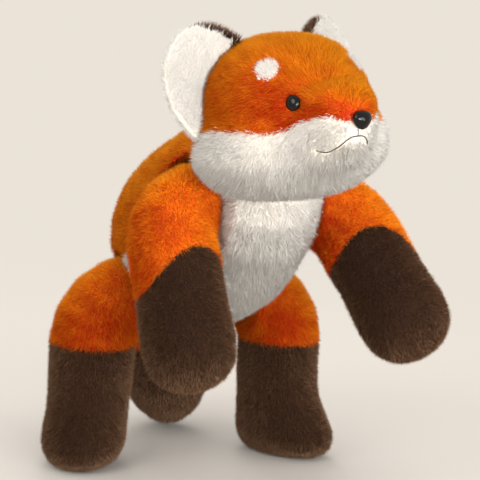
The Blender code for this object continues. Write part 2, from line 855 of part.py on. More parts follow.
def ear_sheet(side, near, far):
    """One side of an ear: a cupped petal between two depths, thick in the middle and thin at its edge."""
    middle, half, along, out, front = ear_frame(side)
    edge = [(a * half, o * EAR_HEIGHT) for a, o in spread(EAR_OUTLINE_SHARES, EAR_POINTS)]
    cup = (EAR_MIDDLE_SHARES[0] * half, EAR_MIDDLE_SHARES[1] * EAR_HEIGHT)
    facing = 1 if far > near else -1
    layers = [[], []]
    for share in EAR_RING_SHARES:
        hollow = EAR_CUP * (1 - share**2)
        thick = EAR_EDGE + (EAR_THICK - EAR_EDGE) * (1 - share**3)
        for layer, depth in zip(layers, (near, near + facing * thick)):
            spots = edge if share else edge[:1]
            row = []
            for a, o in spots:
                x = cup[0] + (a - cup[0]) * share
                y = cup[1] + (o - cup[1]) * share
                row.append(tuple(middle + along * x + out * y + front * (depth - hollow)))
            layer.append(np.array(row))
    return layers[0] + layers[1][::-1]


def turned_guards(name, guard, pivot, axis):
    """The head as it meets the ear when the ear is at either end of its fold."""
    guards = [guard]
    for label, angle in (("back", -EAR_FOLD_DEG), ("fore", EAR_FOLD_DEG)):
        copy = bpy.data.objects.new(f"{guard.name}_{label}_{name}", guard.data)
        bpy.context.collection.objects.link(copy)
        copy.parent = pivot
        turn = Matrix.Rotation(math.radians(angle), 4, axis)
        copy.matrix_local = turn @ Matrix.Translation(-pivot.location)
        copy.hide_render = True
        copy.display_type = "WIRE"
        guards.append(copy)
    return guards


def build_ear(name, side, head, guard):
    middle, _, along, out, front = ear_frame(side)
    pivot = empty(f"ear_{name}_pivot", middle + out * EAR_PIVOT_UP, head)
    guards = turned_guards(name, guard, pivot, along)
    for part, near, far, look in (
        ("front", GAP / 2, EAR_THICK, "cream_fur"),
        ("back", -GAP / 2, -EAR_THICK, "brown_fur"),
    ):
        mesh = mesh_of_rows("ear", ear_sheet(side, near, far))
        made = piece(f"ear_{part}_{name}", mesh, look, pivot)
        for tool in guards:
            cut(made, tool)


def leg_ways(out, down, angle):
    """The ways along and across a leg, turned by an angle from straight out of the trunk's side."""
    along = out * math.cos(angle) + down * math.sin(angle)
    return along, out * math.sin(angle) - down * math.cos(angle)


def toe_ring(middle, across, up, radius, toe, stretch):
    """A round row of a leg, stretched along its toe."""
    row = []
    for j in range(LIMB_SIDES):
        angle = 2 * math.pi * j / LIMB_SIDES
        ray = across * math.cos(angle) + up * math.sin(angle)
        lengthwise = ray.dot(toe)
        round_part = (1 - lengthwise**2) / radius**2
        size = 1 / math.sqrt((lengthwise / (radius + stretch)) ** 2 + round_part)
        row.append(tuple(middle + ray * size))
    return np.array(row)


def limb_rows(joint, side, pitch, splay, root, reach, table, toe_turn=0.0):
    """A leg that leaves the trunk's side square to it, bends and runs straight to its end."""
    out = ACROSS * side
    down = Vector((0, -math.cos(pitch), -math.sin(pitch)))
    hinge = out.cross(down)
    bend_radius = root + BEND_CLEAR
    corner = joint + down * bend_radius
    last = math.pi / 2 - splay
    rows = []
    for i in range(BEND_STEPS):
        across = leg_ways(out, down, last * i / BEND_STEPS)[1]
        swell = 1 + (table[0][1] - 1) * i / BEND_STEPS
        rows.append(circle(corner + across * bend_radius, across, hinge, root * swell, LIMB_SIDES))
    way, across = leg_ways(out, down, last)
    start = corner + across * bend_radius
    toe = Vector((side * math.sin(toe_turn), -math.cos(toe_turn), 0))
    for place, radius_share, toe_share in table:
        stretch = toe_share * TOE_REACH * TOE_SHARE
        middle = start + way * (place * (reach - bend_radius)) + toe * stretch
        if radius_share:
            rows.append(toe_ring(middle, across, hinge, radius_share * root, toe, stretch))
        else:
            rows.append(pole(middle))
    return rows


def build_limb(kind, names, joint, side, rows, seam, root_pivot):
    """A leg's two covers and its stuffing, on an empty at its joint."""
    pivot = empty(f"{kind}_pivot", joint, root_pivot)
    out = ACROSS * side
    last = len(rows) - 1
    lining = thinned(inset(rows, FUR_CLOTH))
    flat_on(lining, 0, joint, out)
    piece(names[0], cover(names[0], rows, lining, 0, seam), "orange_fur", pivot)
    piece(names[1], cover(names[1], rows, lining, seam, last), "brown_fur", pivot)
    core = thinned(inset(rows, FUR_CLOTH + GAP))
    flat_on(core, 0, joint, out)
    closed = [middle_of(core[0])] + core
    piece(names[2], mesh_of_rows(names[2], closed), "white_fibre", pivot)


def build_forelegs(root):
    for i, (name, side) in enumerate(SIDES):
        joint = shoulder(side)
        pitch, splay = math.radians(FORELEG_PITCH_DEG[i]), math.radians(FORELEG_SPLAY_DEG[i])
        rows = limb_rows(joint, side, pitch, splay, FORELEG_ROOT, FORELEG_LENGTH, FORELEG_SHARES)
        names = [f"foreleg_sleeve_{name}", f"forepaw_{name}", f"foreleg_stuffing_{name}"]
        build_limb(f"shoulder_{name}", names, joint, side, rows, BEND_STEPS + FORELEG_SEAM_ROW, root)


def build_hindlegs(root):
    for i, (name, side) in enumerate(SIDES):
        joint = hip(side)
        down, splay = math.pi / 2, math.radians(HINDLEG_SPLAY_DEG[i])
        toe = math.radians(TOE_TURN_DEG[i])
        rows = limb_rows(joint, side, down, splay, HINDLEG_ROOT, HIP_HEIGHT, HINDLEG_SHARES, toe)
        rows.append(middle_of(rows[-1]))
        names = [f"hindleg_sleeve_{name}", f"hindpaw_{name}", f"hindleg_stuffing_{name}"]
        build_limb(f"hip_{name}", names, joint, side, rows, BEND_STEPS + HINDLEG_SEAM_ROW, root)


def shoulder(side):
    return Vector((side * (SHOULDER_FLAT + GAP), -SHOULDER_FORWARD, SHOULDER_HEIGHT))


def hip(side):
    return Vector((side * (HIP_FLAT + GAP), HIP_BACK, HIP_HEIGHT))


def tail_way():
    """The way that the tail leaves the rump."""
    leave = math.radians(TAIL_LEAVE_DEG)
    return Vector((0, math.cos(leave), -math.sin(leave)))


def tail_pivot():
    """The middle of the tail's round root, which stands proud of the rump's lower side."""
    place, _, high, _ = TRUNK_SHARES[TAIL_SEAT_ROW]
    middle, way = bend(trunk_curve(), place)
    below = middle - way.cross(ACROSS) * (TRUNK_HALF_HEIGHT * high)
    return below + tail_way() * (TAIL_ROOT * TAIL_PROUD_SHARE)


def tail_rows():
    pivot = tail_pivot()
    tip = Vector((TAIL_TIP_SIDE, TAIL_TIP_BACK, TAIL_TIP_HEIGHT))
    way = tail_way()
    curve = (pivot - way * TAIL_ROOT, pivot + way * TAIL_SWELL, tip + UP * TAIL_HANG, tip)
    rows = []
    for place, radius_share in TAIL_SHARES:
        middle, way = bend(curve, place)
        if radius_share == 0:
            rows.append(pole(middle))
            continue
        across = (ACROSS - way * way.x).normalized()
        radius = TAIL_RADIUS * radius_share
        rows.append(circle(middle, across, way.cross(across), radius, LIMB_SIDES))
    return rows


def build_tail(root):
    pivot = empty("tail_pivot", tail_pivot(), root)
    rows = tail_rows()
    lining = thinned(inset(rows, FUR_CLOTH))
    last = len(rows) - 1
    piece("tail_base", cover("tail_base", rows, lining, 0, TAIL_SEAM_ROW), "orange_fur", pivot)
    piece("tail_tip", cover("tail_tip", rows, lining, TAIL_SEAM_ROW, last), "brown_fur", pivot)
    core = thinned(inset(rows, FUR_CLOTH + GAP))
    piece("tail_stuffing", mesh_of_rows("tail_stuffing", core), "white_fibre", pivot)


def centre(root):
    """Moves the whole fox so that its bounding box is centred over the origin."""
    graph = bpy.context.evaluated_depsgraph_get()
    places = []
    for thing in bpy.data.objects:
        if thing.type == "EMPTY" or thing.hide_render:
            continue
        mesh = thing.evaluated_get(graph).to_mesh()
        places.extend(thing.matrix_world @ vertex.co for vertex in mesh.vertices)
    low, high = np.min(places, axis=0), np.max(places, axis=0)
    root.location = (-(low[0] + high[0]) / 2, -(low[1] + high[1]) / 2, 0)
    bpy.context.view_layer.update()


def build():
    clear_scene()
    root = empty("fox", Vector())
    build_trunk(root)
    head = empty("head_pivot", NECK_MIDDLE, root)
    build_head(head)
    guard_rows = inset(head_rows(), -EAR_GAP)
    guard = cutter("head_guard", mesh_of_rows("head_guard", guard_rows), head)
    for name, side in SIDES:
        build_ear(name, side, head, guard)
    build_forelegs(root)
    build_hindlegs(root)
    build_tail(root)
    centre(root)
    return root


build()
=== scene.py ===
"""The looks of a stuffed plush fox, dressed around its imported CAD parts.

Each stuffed form gets one even skin, remeshed from its CAD covers and set in under the fur. The skin is
shared out between its covers as cloth, and fur grows on it: tapered blades of mesh, each with its own lean.
"""

import math

import bmesh
import bpy
import numpy as np
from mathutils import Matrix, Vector
from mathutils.bvhtree import BVHTree
from mathutils.kdtree import KDTree


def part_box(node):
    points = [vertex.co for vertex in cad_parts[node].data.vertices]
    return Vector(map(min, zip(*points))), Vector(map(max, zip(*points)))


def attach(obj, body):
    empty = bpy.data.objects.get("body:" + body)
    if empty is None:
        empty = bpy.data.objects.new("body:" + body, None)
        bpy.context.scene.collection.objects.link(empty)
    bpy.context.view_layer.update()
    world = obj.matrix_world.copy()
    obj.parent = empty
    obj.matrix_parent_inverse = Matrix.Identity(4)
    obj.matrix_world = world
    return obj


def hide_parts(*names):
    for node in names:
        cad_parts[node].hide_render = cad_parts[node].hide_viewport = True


MM = 0.001
SEED = 7
SEED_STEP = 10
NEARLY_ZERO = 1e-9

SPOTS = ["brow_spot_right", "brow_spot_left"]

# Camera, as the photograph was taken
CAMERA_PLACE = (-0.6242, -1.3638, 0.4386)
CAMERA_TURN_DEG = (81.981, -3.961, -24.442)
CAMERA_LENS = 122
SENSOR = 36

# Skin under the fur
SKIN_VOXEL = 3.0 * MM
SKIN_INSET = 2.6 * MM
EAR_INSET = 0.3 * MM
CLOTH = 2.0 * MM
FILLING_VOXEL = 6.0 * MM
FILLING_INSET = 8.5 * MM
EAR_VOXEL = 1.2 * MM
SMOOTH_FACTOR = 0.5
SMOOTH_TIMES = 10
EAR_SMOOTH_TIMES = 3
WELD = 0.01 * MM
MOULD_VOXEL = 0.55 * MM
MOULD_SMOOTH_TIMES = 8

# Length of the fur on each cover
BACK_FUR = 7.2 * MM
BELLY_FUR = 7.5 * MM
CROWN_FUR = 6.2 * MM
CHEEK_FUR = 7.5 * MM
TAIL_FUR = 7.2 * MM
EAR_FRONT_FUR = 5.0 * MM
EAR_BACK_FUR = 4.5 * MM
SLEEVE_FUR = 6.8 * MM
PAW_FUR = 6.4 * MM
LENGTH_SPREAD = (0.75, 1.15)

# How many strands grow, and each one's width, lean and twist
STRANDS_MOST = 75000
STRANDS_PER_M2 = 1.7e6
STRAND_WIDTH = 0.62 * MM
WIDTH_SPREAD = (0.7, 1.2)
BLADE_SHARE = 0.3
LEAN_DEG = (24, 58)
STRAY_DEG = 13
TWIST = 0.35
TUFT_SHARE = 0.14
FLOOR_CLEAR = 0.3 * MM
SEAM_JITTER = 0.8 * MM
BODY_FLOW = (0.0, 0.75, -0.65)
EAR_FLOW_UP = 0.2

# Corners of a blade's two triangles, which share its tip, and the place of each along u in edges
BLADE_CORNERS = (0, 1, 2, 3, 4, 2)
BLADE_EDGES = (1.0, 3.0, 2.0, 3.0, 1.0, 2.0)
UV_EDGE = 0.002

# Tint of a strand, from 0 to 1: its own random tone, with painted top light added where the skin faces up;
# and how its soft normal strays from the skin's
TINT_MIDDLE = 0.5
TINT_PATCHES = 0.05
TINT_TUFTS = 0.05
TINT_STRANDS = 0.09
TOP_LIGHT_TINT = 0.42
# Tint above which the painted top-lit colours come in
TOP_LIGHT_FROM = 0.45
SOFT_LEAN = 0.20
SOFT_STRAY = 0.32
BACK_TILT = 0.25

# Share of the fur's length right beside a neighbour, and how far off it has its full length
TIGHT = (0.72, 10.0 * MM)
LOOSE = (1.45, 9.0 * MM)
OVER_EAR = (1.5, 9.0 * MM)
BALD_NEAR = 1.6 * MM

# Fur round the eyes, the nose and the stitches, and how it falls on the cheeks
SHORTEST_SHARE = 0.35
EYE_BALD = 0.8 * MM
EYE_SHORT = 5.0 * MM
EYE_SHARE = 0.5
CHEEK_FALL = (0.35, 1.1)
CHEEK_FALL_SIDES = (30.0 * MM, 60.0 * MM)
STITCH_BALD = 0.6 * MM
STITCH_SHORT = 9.0 * MM
MUZZLE_SHORT = 50.0 * MM
MUZZLE_SHARE = 0.55

# Seeded noise, as sums of waves
TUFT_WAVE = 13.0 * MM
PATCH_WAVE = 55.0 * MM
WAVES = 7
WAVE_SPREAD = (0.6, 1.5)

# Shape of the face's skin, in millimetres to the left of, above and before the eyes' middle
CREASE_UP = 18.0 * MM
CREASE_FALL = 12.0 * MM
CREASE_SIDE = 33.0 * MM
CREASE_DEPTH = 4.0 * MM
CREASE_WIDTH = 4.5 * MM
HUMP_PLACE = (17.0 * MM, 1.0 * MM)
HUMP_RADIUS = 13.0 * MM
HUMP_RISE = 4.5 * MM
CHEEK_PLACE = (70.0 * MM, -36.0 * MM, -22.0 * MM)
CHEEK_RADIUS = 27.0 * MM
CHEEK_RISE = 7.5 * MM
FACE_REACH = 2 * CHEEK_PLACE[0]

# Mouth line, from its middle outwards: its halves end to the fox's right and left
MOUTH_MIDDLE = (-1.2 * MM, -26.5 * MM)
MOUTH_HALVES = (25.5 * MM, 13.0 * MM)
MOUTH_LOWEST = 18.8 * MM
MOUTH_DROP = 12.5 * MM
MOUTH_LIFT = 1.8 * MM
MOUTH_POWER = 1.6
MOUTH_STEPS = 24
LIP_ENDS = (-21.0 * MM, -26.0 * MM)
LIP_STEPS = 6
THREAD_RADIUS = 0.5 * MM
LIP_RADIUS = 0.35 * MM
THREAD_PROUD = 1.5 * MM
THREAD_BEVEL = 3

# Width of the nose and the eyes, as shares of the CAD pieces' own
NOSE_WIDEN = 1.14
EYE_WIDEN = 0.82

# Brow spots
SPOT_RADIUS = 10.0 * MM
SPOT_FUR = 5.5 * MM
SPOT_EDGE = 5.0 * MM
SPOT_EDGE_SHARE = 0.6
SPOT_LEAN_SHARE = 0.4
SPOT_DENSITY = 2.2

# How far an ear's cream front wraps round its rim, and its brown fringe near the crown
EAR_WRAP = 2.4 * MM
EAR_FOOT_WRAP = 4.0 * MM
EAR_FOOT_GAPS = (3.0 * MM, 10.0 * MM)
EAR_ROLL = 2.6 * MM
EAR_ROLL_UP = 0.75
EAR_ROLL_FROM = 22.0 * MM
EAR_ROLL_FULL = 40.0 * MM
EAR_FRINGE = 3.5 * MM
EAR_FRINGE_WIDE = 8.0 * MM
EAR_DENSITY = 1.9

# The forelegs' paw seam: an arch across the leg, measured in half widths from its middle
ARCH_RISE = 6.0 * MM
ARCH_FALL = 21.0 * MM
ARCH_MIDDLE_SHARE = 0.3
ARCH_EDGE_PERCENT = 98

# Colours in sRGB. Fur has three, from root to tip: the darker roots are painted shade deep in the pile and
# the paler tips painted light along its edges; the top colours are painted top light. A sheen has its
# weight and colour
ORANGE_CLOTH = (204, 58, 0)
ORANGE = ((152, 8, 0), (192, 32, 0), (224, 84, 0))
ORANGE_TOP_LIT = ((230, 98, 0), (254, 144, 12), (255, 192, 56))
ORANGE_SHEEN = (0.4, (255, 166, 10))
CREAM = ((244, 236, 224), (248, 243, 235), (250, 246, 240))
CREAM_SHEEN = (0.15, CREAM[2])
# The cream cloth is darker than the cream fur: painted shade in the gaps between strands
CREAM_CLOTH_SHADED = (222, 211, 194)
BROWN = ((32, 16, 8), (48, 26, 13), (108, 76, 52))
BROWN_SHEEN = (0.6, (176, 136, 104))
FIBRE = (240, 237, 230)
GLOSS = (8, 7, 7)
THREAD = (40, 33, 31)
PLASTIC = (222, 226, 228)
BACKDROP = (235, 227, 216)
FLOOR = (200, 194, 186)

# Finish of the fur
FUR_PLACES = (0.0, 0.55, 1.0)
# Value of a strand from its tint: random tone, and painted top light where the fur faces up
FUR_SHADES = (0.82, 1.12)
FUR_ROUGHNESS = 0.78
FUR_SPECULAR = 0.08
SHEEN_ROUGHNESS = 0.45

# A colour mix has its factor and its two colours at these sockets
MIX_FACTOR, MIX_FIRST, MIX_SECOND = 0, 6, 7
MIX_COLOUR = 2

# Finish of the cloth, the plastic and the thread
CLOTH_GRAIN = 420.0
CLOTH_DETAIL = 3.0
CLOTH_PLACES = (0.35, 0.75)
CLOTH_BUMP = 0.5
CLOTH_RELIEF = 0.8 * MM
CLOTH_ROUGHNESS = 0.95
HAZE_GRAIN = 260.0
HAZE_SPREAD = 0.10
GLOSS_SPECULAR = 0.2
COAT_ROUGHNESS = 0.06
BLACK_ROUGHNESS = 0.10
BLACK_COAT = 0.15
CLEAR_ROUGHNESS = 0.3
CLEAR_COAT = 0.0
THREAD_GRAIN = 420.0
THREAD_DISTORTION = 1.5
THREAD_PLACES = (0.1, 0.9)
THREAD_PALER = 2
THREAD_RELIEF = 0.3 * MM
THREAD_ROUGHNESS = 0.7

# Floor, backdrop and lights: each light's name, place, size and power
FLOOR_RADIUS = 9.0
FLOOR_SIDES = 96
FLOOR_ROUGHNESS = 0.95
FLOOR_SPECULAR = 0.1
GLOW_START = 0.35
GLOW_FULL = 1.3
SKY = (250, 248, 246)
SKY_STRENGTH = 1.16
LIT_PLACE = (0.0, 0.0, 0.2)
LIGHTS = (
    ("key", (-2.3, -1.3, 1.5), 1.7, 33),
    ("fill", (0.7, -2.6, 0.3), 1.9, 57),
    ("back", (0.6, 2.2, 1.9), 1.4, 20),
    ("low", (-0.4, -2.3, 0.05), 1.4, 62),
    ("spark", (-0.3, -2.4, 0.12), 0.2, 6),
)


def linear(colour):
    """A colour written in sRGB, as Blender's sockets take it."""
    shares = [value / 255 for value in colour]
    return tuple(
        share / 12.92 if share <= 0.04045 else ((share + 0.055) / 1.055) ** 2.4
        for share in shares
    )


def with_alpha(colour):
    return (*linear(colour), 1.0)


# Camera
def add_camera():
    data = bpy.data.cameras.new("camera")
    data.lens = CAMERA_LENS
    data.sensor_width = SENSOR
    camera = bpy.data.objects.new("camera", data)
    camera.location = CAMERA_PLACE
    camera.rotation_euler = [math.radians(turn) for turn in CAMERA_TURN_DEG]
    bpy.context.scene.collection.objects.link(camera)
    bpy.context.scene.camera = camera


# Materials
def new_material(name):
    material = bpy.data.materials.new(name)
    material.use_nodes = True
    tree = material.node_tree
    return material, tree, tree.nodes["Principled BSDF"]


def ramp_node(tree, colours, places):
    node = tree.nodes.new("ShaderNodeValToRGB")
    ramp = node.color_ramp
    while len(ramp.elements) < len(colours):
        ramp.elements.new(0.5)
    for element, colour, place in zip(ramp.elements, colours, places):
        element.position = place
        element.color = with_alpha(colour)
    return node


def bump_node(tree, height, shader, relief, strength=1.0):
    """Fine relief from a grey value, on a shader's normal."""
    node = tree.nodes.new("ShaderNodeBump")
    node.inputs["Strength"].default_value = strength
    node.inputs["Distance"].default_value = relief
    tree.links.new(height, node.inputs["Height"])
    tree.links.new(node.outputs["Normal"], shader.inputs["Normal"])


def fur_colour(tree, colours, top_lit_colours):
    """A strand's colour: root to tip along v, darker roots as painted shade and paler tips as painted edge
    light, and along u the strand's own tint, which carries painted top light.
    """
    new, link = tree.nodes.new, tree.links.new
    place = new("ShaderNodeUVMap")
    place.uv_map = "OFBake"
    split = new("ShaderNodeSeparateXYZ")
    link(place.outputs["UV"], split.inputs[0])
    # Root to tip: painted shade at the root, painted light at the tip
    low = ramp_node(tree, colours, FUR_PLACES)
    high = ramp_node(tree, top_lit_colours, FUR_PLACES)
    for ramp in (low, high):
        link(split.outputs["Y"], ramp.inputs["Fac"])
    # Painted top light: a high tint swaps in the top-lit colours
    top = new("ShaderNodeMapRange")
    top.inputs["From Min"].default_value = TOP_LIGHT_FROM
    link(split.outputs["X"], top.inputs["Value"])
    mixed = new("ShaderNodeMix")
    mixed.data_type = "RGBA"
    link(top.outputs["Result"], mixed.inputs[MIX_FACTOR])
    link(low.outputs["Color"], mixed.inputs[MIX_FIRST])
    link(high.outputs["Color"], mixed.inputs[MIX_SECOND])
    # A strand's value follows its tint, so painted top light also makes up-facing fur paler
    shade = new("ShaderNodeMapRange")
    shade.inputs["To Min"].default_value = FUR_SHADES[0]
    shade.inputs["To Max"].default_value = FUR_SHADES[1]
    link(split.outputs["X"], shade.inputs["Value"])
    tinted = new("ShaderNodeHueSaturation")
    link(mixed.outputs[MIX_COLOUR], tinted.inputs["Color"])
    link(shade.outputs["Result"], tinted.inputs["Value"])
    return tinted.outputs["Color"]


def fur_material(name, colours, top_lit_colours, sheen):
    """Fur, with painted top light (other colours where it faces up), and a sheen at its edges."""
    material, tree, shader = new_material(name)
    weight, sheen_colour = sheen
    tree.links.new(fur_colour(tree, colours, top_lit_colours), shader.inputs["Base Color"])
    shader.inputs["Roughness"].default_value = FUR_ROUGHNESS
    shader.inputs["Specular IOR Level"].default_value = FUR_SPECULAR
    shader.inputs["Sheen Weight"].default_value = weight
    shader.inputs["Sheen Roughness"].default_value = SHEEN_ROUGHNESS
    shader.inputs["Sheen Tint"].default_value = with_alpha(sheen_colour)
    return material


def cloth_material(name, dark, pale):
    """The knitted backing and undercoat below the fur."""
    material, tree, shader = new_material(name)
    new, link = tree.nodes.new, tree.links.new
    place = new("ShaderNodeTexCoord")
    grain = new("ShaderNodeTexNoise")
    grain.inputs["Scale"].default_value = CLOTH_GRAIN
    grain.inputs["Detail"].default_value = CLOTH_DETAIL
    link(place.outputs["Object"], grain.inputs["Vector"])
    ramp = ramp_node(tree, (dark, pale), CLOTH_PLACES)
    link(grain.outputs["Fac"], ramp.inputs["Fac"])
    link(ramp.outputs["Color"], shader.inputs["Base Color"])
    bump_node(tree, grain.outputs["Fac"], shader, CLOTH_RELIEF, CLOTH_BUMP)
    shader.inputs["Roughness"].default_value = CLOTH_ROUGHNESS
    return material


def gloss_material(name, colour, roughness, coat):
    """Moulded plastic with a faint unevenness in its polish."""
    material, tree, shader = new_material(name)
    new, link = tree.nodes.new, tree.links.new
    place = new("ShaderNodeTexCoord")
    haze = new("ShaderNodeTexNoise")
    haze.inputs["Scale"].default_value = HAZE_GRAIN
    link(place.outputs["Object"], haze.inputs["Vector"])
    level = new("ShaderNodeMapRange")
    level.inputs["To Min"].default_value = roughness
    level.inputs["To Max"].default_value = roughness + HAZE_SPREAD
    link(haze.outputs["Fac"], level.inputs["Value"])
    link(level.outputs["Result"], shader.inputs["Roughness"])
    shader.inputs["Base Color"].default_value = with_alpha(colour)
    shader.inputs["Specular IOR Level"].default_value = GLOSS_SPECULAR
    shader.inputs["Coat Weight"].default_value = coat
    shader.inputs["Coat Roughness"].default_value = COAT_ROUGHNESS
    return material


def thread_material():
    """Embroidery thread with its twist."""
    material, tree, shader = new_material("thread")
    new, link = tree.nodes.new, tree.links.new
    place = new("ShaderNodeTexCoord")
    twist = new("ShaderNodeTexWave")
    twist.bands_direction = "DIAGONAL"
    twist.inputs["Scale"].default_value = THREAD_GRAIN
    twist.inputs["Distortion"].default_value = THREAD_DISTORTION
    link(place.outputs["Object"], twist.inputs["Vector"])
    pale = tuple(THREAD_PALER * value for value in THREAD)
    ramp = ramp_node(tree, (THREAD, pale), THREAD_PLACES)
    link(twist.outputs["Fac"], ramp.inputs["Fac"])
    link(ramp.outputs["Color"], shader.inputs["Base Color"])
    bump_node(tree, twist.outputs["Fac"], shader, THREAD_RELIEF)
    shader.inputs["Roughness"].default_value = THREAD_ROUGHNESS
    return material


# Meshes
def new_object(name, mesh):
    piece = bpy.data.objects.new(name, mesh)
    bpy.context.scene.collection.objects.link(piece)
    return piece


def evaluated(piece):
    """The piece's mesh with its modifiers applied, and the piece removed."""
    graph = bpy.context.evaluated_depsgraph_get()
    mesh = bpy.data.meshes.new_from_object(piece.evaluated_get(graph))
    bpy.data.objects.remove(piece)
    return mesh


def joined(nodes):
    """One mesh of several CAD nodes, with each node's split corners welded."""
    work = bmesh.new()
    for node in nodes:
        work.from_mesh(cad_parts[node].data)
    bmesh.ops.remove_doubles(work, verts=work.verts, dist=WELD)
    mesh = bpy.data.meshes.new("joined")
    work.to_mesh(mesh)
    work.free()
    return mesh


def remeshed(piece, voxel, times):
    """Gives a piece the modifiers that make its mesh even and smooth."""
    remesh = piece.modifiers.new("remesh", "REMESH")
    remesh.mode = "VOXEL"
    remesh.voxel_size = voxel
    even = piece.modifiers.new("even", "SMOOTH")
    even.factor = SMOOTH_FACTOR
    even.iterations = times


def smooth_form(nodes, voxel, times, inset):
    """The closed, even skin of several touching nodes, set in from their surface."""
    piece = new_object("form", joined(nodes))
    remeshed(piece, voxel, times)
    shrink = piece.modifiers.new("shrink", "DISPLACE")
    shrink.mid_level = 0.0
    shrink.strength = -inset
    mesh = evaluated(piece)
    mesh.shade_smooth()
    return mesh


def tree_of(nodes):
    """A search tree over several CAD nodes' faces."""
    work = bmesh.new()
    for node in nodes:
        work.from_mesh(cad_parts[node].data)
    tree = BVHTree.FromBMesh(work)
    work.free()
    return tree


def distances(tree, points):
    return np.array([tree.find_nearest(point)[3] for point in points])


def nearest_of(places, points):
    """How far each point is from the nearest of some places."""
    tree = KDTree(len(places))
    for index, place in enumerate(places):
        tree.insert(place, index)
    tree.balance()
    return np.array([tree.find(point)[2] for point in points])


def middle(node):
    low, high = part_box(node)
    return np.array((low + high) / 2)


def points_of(mesh):
    """The mesh's vertices, one in each row."""
    points = np.empty(len(mesh.vertices) * 3, np.float32)
    mesh.vertices.foreach_get("co", points)
    return points.reshape(-1, 3).astype(float)


def set_points(mesh, points):
    mesh.vertices.foreach_set("co", points.astype(np.float32).ravel())
    mesh.update()


def normals_of(mesh):
    normals = np.empty(len(mesh.vertices) * 3, np.float32)
    mesh.vertex_normals.foreach_get("vector", normals)
    return normals.reshape(-1, 3).astype(float)


def triangles_of(mesh):
    """The mesh's triangles, as three vertex numbers in each row."""
    mesh.calc_loop_triangles()
    corners = np.empty(len(mesh.loop_triangles) * 3, np.int32)
    mesh.loop_triangles.foreach_get("vertices", corners)
    return corners.reshape(-1, 3)


def unit(vectors):
    """Each row's vector, at length 1."""
    lengths = np.linalg.norm(vectors, axis=1, keepdims=True)
    return vectors / np.maximum(lengths, NEARLY_ZERO)


def waves(points, wave, seed, rows=1):
    """Smooth seeded noise of about that wavelength, from -1 to 1 or so."""
    random = np.random.default_rng(seed)
    found = np.zeros((len(points), rows))
    for row in range(rows):
        for _ in range(WAVES):
            direction = random.normal(size=3)
            direction /= np.linalg.norm(direction)
            pace = math.tau / (wave * random.uniform(*WAVE_SPREAD))
            found[:, row] += np.sin(points @ direction * pace + random.uniform(0, math.tau))
    return found / math.sqrt(WAVES)


# The face
def face_axes():
    """The middle between the eyes, with the ways to the fox's left, up and forward."""
    right, left = middle("eye_right"), middle("eye_left")
    centre = (right + left) / 2
    leftward = (left - right) / np.linalg.norm(left - right)
    upward = np.array([0.0, 0.0, 1.0]) - leftward[2] * leftward
    upward /= np.linalg.norm(upward)
    return centre, np.stack([leftward, upward, np.cross(leftward, upward)], axis=1)


def in_face(points):
    """Points as distances to the left of, above and before the eyes' middle."""
    centre, axes = face_axes()
    return (points - centre) @ axes


def swell(offsets, radius):
    """A smooth bump: 1 where the offsets are zero, fading with distance."""
    return np.exp(-(offsets ** 2).sum(1) / radius ** 2)


def shape_face(mesh):
    """Models the face's skin: a crease over the muzzle's bridge, its two humps, full cheeks."""
    points = points_of(mesh)
    place = in_face(points)
    before = place[:, 2] > CHEEK_PLACE[2]
    crease = CREASE_UP - CREASE_FALL * (place[:, 0] / CREASE_SIDE) ** 2
    depth = np.exp(-(((place[:, 1] - crease) / CREASE_WIDTH) ** 2))
    push = -CREASE_DEPTH * depth * np.exp(-((place[:, 0] / CREASE_SIDE) ** 4)) * before
    for side in (-1, 1):
        hump = np.array([side * HUMP_PLACE[0], HUMP_PLACE[1]])
        push += HUMP_RISE * swell(place[:, :2] - hump, HUMP_RADIUS) * before
        cheek = np.array([side * CHEEK_PLACE[0], *CHEEK_PLACE[1:]])
        push += CHEEK_RISE * swell(place - cheek, CHEEK_RADIUS)
    set_points(mesh, points + normals_of(mesh) * push[:, None])


def ear_regions(points, gaps, side):
    """Parts an ear by distance from its rim's seam, and says how much the back is fringed."""
    front = gaps[:, 0] < gaps[:, 1]
    seam = np.abs(gaps[:, 0] - gaps[:, 1]) < EAR_VOXEL
    inside = nearest_of(points[seam], points) * np.where(front, 1.0, -1.0)
    leftward, upward = face_axes()[1].T[:2]
    way = EAR_ROLL_UP * upward + (leftward if side == "right" else -leftward)
    along = (points - middle(f"ear_front_{side}")) @ (way / np.linalg.norm(way))
    rolled = near_share(along, EAR_ROLL_FROM, EAR_ROLL_FULL)
    roll = rolled * (EAR_WRAP + EAR_ROLL) - EAR_WRAP
    beside = distances(tree_of(["head_crown", "head_cheeks"]), points)
    roll -= EAR_FOOT_WRAP * (1 - near_share(beside, *EAR_FOOT_GAPS)) * (1 - rolled)
    fringe = EAR_FRINGE * rolled * np.exp(-((inside / EAR_FRINGE_WIDE) ** 2)) * (inside < roll)
    return np.stack([roll - inside, inside - roll], axis=1), fringe


def arched(points, gaps, sleeve, paw):
    """Moves the seam between a foreleg's sleeve and its paw to an arch across the leg."""
    along = unit((middle(paw) - middle(sleeve))[None])[0]
    across = np.cross(along, np.array([0.0, 1.0, 0.0]))
    across /= np.linalg.norm(across)
    off = (points - middle(paw)) @ across
    half = np.percentile(np.abs(off), ARCH_EDGE_PERCENT)
    inner = -np.sign(middle(paw)[0]) * np.sign(across[0])
    share = off * inner / half - ARCH_MIDDLE_SHARE
    rise = ARCH_RISE - ARCH_FALL * share ** 2
    return gaps - np.stack([np.zeros(len(points)), rise], axis=1)


